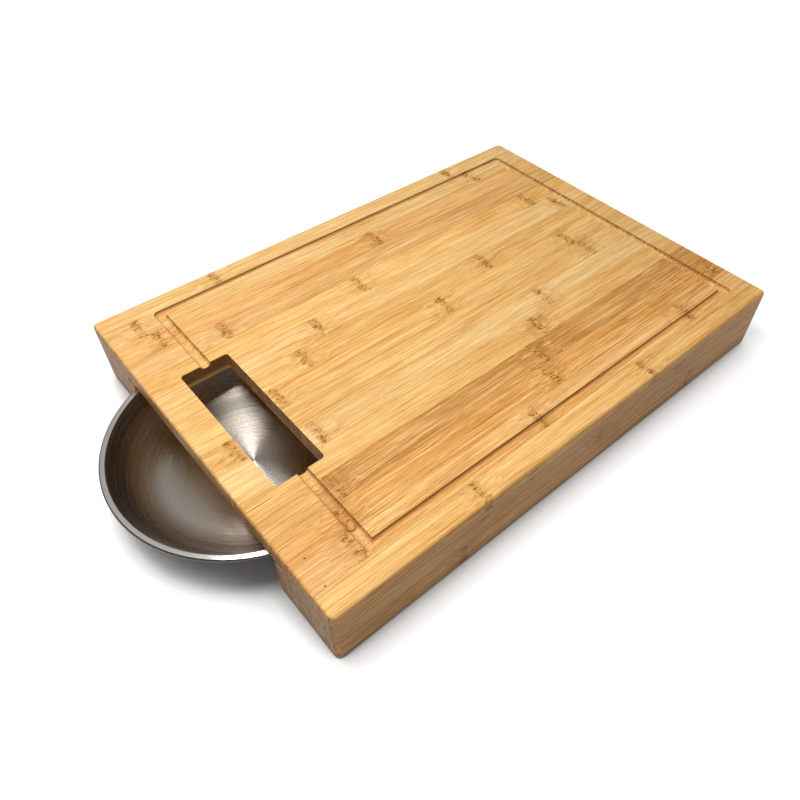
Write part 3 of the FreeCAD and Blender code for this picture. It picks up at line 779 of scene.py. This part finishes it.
curve = add(lathe, "GeometryNodeMeshToCurve", {"Mesh": given["Section"]})
radii = add(lathe, "GeometryNodeInputNamedAttribute", {"Name": "bend_radius"}, data_type="FLOAT")
facets = add(lathe, "GeometryNodeInputNamedAttribute", {"Name": "bend_facets"}, data_type="INT")
rounded = add(lathe, "GeometryNodeFilletCurve",
              {"Curve": curve, "Radius": radii, "Count": facets}, mode="POLY")
points = add(lathe, "GeometryNodeAttributeDomainSize", {"Geometry": rounded}, component="CURVE")
columns = add(lathe, "ShaderNodeMath", {0: given["Columns"], 1: 1.0}, operation="ADD")
grid = add(lathe, "GeometryNodeMeshGrid", {"Size X": 1.0, "Size Y": 1.0, "Vertices X": columns,
                                          "Vertices Y": points.outputs["Point Count"]})
mapped = add(lathe, "GeometryNodeStoreNamedAttribute",
             {"Geometry": grid, "Name": "UVMap", "Value": grid.outputs["UV Map"]},
             data_type="FLOAT2", domain="CORNER")
flat = add(lathe, "ShaderNodeSeparateXYZ", {"Vector": add(lathe, "GeometryNodeInputPosition")})
turn = add(lathe, "ShaderNodeMath", {0: flat.outputs["X"], 1: math.tau}, operation="MULTIPLY")
last_row = add(lathe, "ShaderNodeMath", {0: points.outputs["Point Count"], 1: 1.0},
               operation="SUBTRACT")
row = add(lathe, "ShaderNodeMath", {0: flat.outputs["Y"], 1: 0.5}, operation="ADD")
row = add(lathe, "ShaderNodeMath", {0: row, 1: last_row}, operation="MULTIPLY")
row = add(lathe, "ShaderNodeMath", {0: row}, operation="ROUND")
corner = add(lathe, "GeometryNodeSampleIndex",
             {"Geometry": rounded, "Value": add(lathe, "GeometryNodeInputPosition"), "Index": row},
             data_type="FLOAT_VECTOR", domain="POINT")
corner = add(lathe, "ShaderNodeSeparateXYZ", {"Vector": corner})
cosine = add(lathe, "ShaderNodeMath", {0: turn}, operation="COSINE")
sine = add(lathe, "ShaderNodeMath", {0: turn}, operation="SINE")
x = add(lathe, "ShaderNodeMath", {0: corner.outputs["X"], 1: cosine}, operation="MULTIPLY")
y = add(lathe, "ShaderNodeMath", {0: corner.outputs["X"], 1: sine}, operation="MULTIPLY")
around = add(lathe, "ShaderNodeCombineXYZ", {"X": x, "Y": y, "Z": corner.outputs["Z"]})
centred = add(lathe, "ShaderNodeVectorMath", {0: around, 1: given["Axis"]}, operation="ADD")
bent = add(lathe, "GeometryNodeSetPosition", {"Geometry": mapped, "Position": centred})
closed = add(lathe, "GeometryNodeMergeByDistance", {"Geometry": bent, "Distance": DOUBLES})
smooth = add(lathe, "GeometryNodeSetShadeSmooth", {"Geometry": closed})
real = add(lathe, "GeometryNodeRealizeInstances", {"Geometry": smooth})
steel_on = add(lathe, "GeometryNodeSetMaterial", {"Geometry": real, "Material": given["Material"]})
add(lathe, "NodeGroupOutput", {"Turned": steel_on})
print("lathe:", len(lathe.nodes), "nodes")

# %% [markdown]
# ## Brushed steel
# The bowl is 18/8 stainless steel, brushed while it spins, so the scratches are circles. Light
# that falls on circular scratches spreads across them, which draws the bright bow tie through
# the middle of the base. Cycles makes it from anisotropic roughness along a tangent, here the
# direction of the UV map that runs round the bowl. Fine rings in the roughness and the bump
# break it up as real scratches do. They are drawn about four times coarser than 240 grit. The
# flange has a paler steel colour, a painted highlight, and the turned edge past it a dark one,
# a painted dark reflection, which outlines the rim.

# %% Steel
RING_MM = 0.40
RING_DEPTH_MM = 0.002
RING_STRENGTH = 0.5
BRUSHED_SMOOTH, BRUSHED_ROUGH = 0.22, 0.31
# The range of the noise that holds nearly all of the scratches.
SCRATCH_LOW, SCRATCH_HIGH = 0.3, 0.7
ANISOTROPY = 0.92
# A quarter turn sends the spread of the light across the scratches.
ACROSS = 0.25
PAINTED_DARK_EDGE = 1.1 * MM
# The flange and the turned edge past it: the radii where each starts and is full, and its
# colour. The flange's paler steel is a painted highlight, the edge's dark one a painted dark
# reflection.
PAINTED_RIM_BANDS = ((wall - 0.6 * MM, wall + 0.2 * MM, "#ece7e0"),
             (rim - PAINTED_DARK_EDGE, rim - PAINTED_DARK_EDGE * 0.6, "#4e4741"))

steel = bpy.data.materials.new("brushed stainless steel")
steel.use_nodes = True
tree = steel.node_tree
tree.nodes.clear()
offset = add(tree, "ShaderNodeVectorMath",
             {0: add(tree, "ShaderNodeTexCoord").outputs["Object"],
              1: (bowl_axis.x, bowl_axis.y, bottom)}, operation="SUBTRACT")
part = add(tree, "ShaderNodeSeparateXYZ", {"Vector": offset}).outputs
flat_place = add(tree, "ShaderNodeCombineXYZ", {"X": part["X"], "Y": part["Y"]})
radius = add(tree, "ShaderNodeVectorMath", {0: flat_place}, operation="LENGTH").outputs["Value"]
ring = add(tree, "ShaderNodeMath", {0: radius, 1: part["Z"]}, operation="SUBTRACT")
ring = add(tree, "ShaderNodeMath", {0: ring, 1: 1 / (RING_MM * MM)}, operation="MULTIPLY")
heading = add(tree, "ShaderNodeVectorMath", {0: flat_place}, operation="NORMALIZE")
heading = add(tree, "ShaderNodeSeparateXYZ", {"Vector": heading}).outputs
ring_place = add(tree, "ShaderNodeCombineXYZ", {"X": ring, "Y": heading["X"], "Z": heading["Y"]})
scratches = add(tree, "ShaderNodeTexNoise", {"Vector": ring_place, "Scale": 1.0, "Detail": 3.0})
roughness = add(tree, "ShaderNodeMapRange",
                {"Value": scratches, "From Min": SCRATCH_LOW, "From Max": SCRATCH_HIGH,
                 "To Min": BRUSHED_SMOOTH, "To Max": BRUSHED_ROUGH})
ring_tone = add(tree, "ShaderNodeMapRange",
                {"Value": scratches, "From Min": SCRATCH_LOW, "From Max": SCRATCH_HIGH})
colour = add(tree, "ShaderNodeMix",
             {"Factor_Float": ring_tone, "A_Color": linear("#bab1a6"), "B_Color": linear("#c4bcb2")},
             data_type="RGBA")
# The paler flange is a painted highlight and the dark edge a painted dark reflection.
for starts, full, tint in PAINTED_RIM_BANDS:
    band = add(tree, "ShaderNodeMapRange", {"Value": radius, "From Min": starts, "From Max": full})
    colour = add(tree, "ShaderNodeMix",
                 {"Factor_Float": band, "A_Color": colour, "B_Color": linear(tint)},
                 data_type="RGBA")
bump = add(tree, "ShaderNodeBump",
           {"Height": scratches, "Distance": RING_DEPTH_MM * MM, "Strength": RING_STRENGTH})
direction = add(tree, "ShaderNodeTangent", direction_type="UV_MAP", uv_map="UVMap")
finish = add(tree, "ShaderNodeBsdfPrincipled",
             {"Base Color": colour, "Metallic": 1.0, "Roughness": roughness, "Normal": bump,
              "Tangent": direction, "Anisotropic": ANISOTROPY, "Anisotropic Rotation": ACROSS})
add(tree, "ShaderNodeOutputMaterial", {"Surface": finish})
print("brushed steel:", len(tree.nodes), "nodes")

# %% [markdown]
# ## Turning the bowl
# The section becomes an object with the lathe as its modifier. The inputs are set by the
# identifiers of their sockets, which stay the same when a socket is renamed. The result is taken
# off as a plain mesh, because an exported model has no modifiers, and it stands in for the packed
# bowl on the same body.

# %% Turn the bowl
COLUMNS = 240

section = bpy.data.objects.new("bowl section", section_mesh)
bpy.context.scene.collection.objects.link(section)
turning = section.modifiers.new("lathe", "NODES")
turning.node_group = lathe
identifiers = {item.name: item.identifier for item in lathe.interface.items_tree
               if item.in_out == "INPUT"}
turning[identifiers["Columns"]] = COLUMNS
turning[identifiers["Axis"]] = (bowl_axis.x, bowl_axis.y, 0.0)
turning[identifiers["Material"]] = steel
evaluated = section.evaluated_get(bpy.context.evaluated_depsgraph_get())
bowl_mesh = bpy.data.meshes.new_from_object(evaluated)
bpy.data.objects.remove(section)
spun_bowl = bpy.data.objects.new("spun_bowl", bowl_mesh)
bpy.context.scene.collection.objects.link(spun_bowl)

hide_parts("bowl")
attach(spun_bowl, "bowl")
print("bowl:", len(bowl_mesh.polygons), "faces, UV map:", bowl_mesh.uv_layers[0].name)
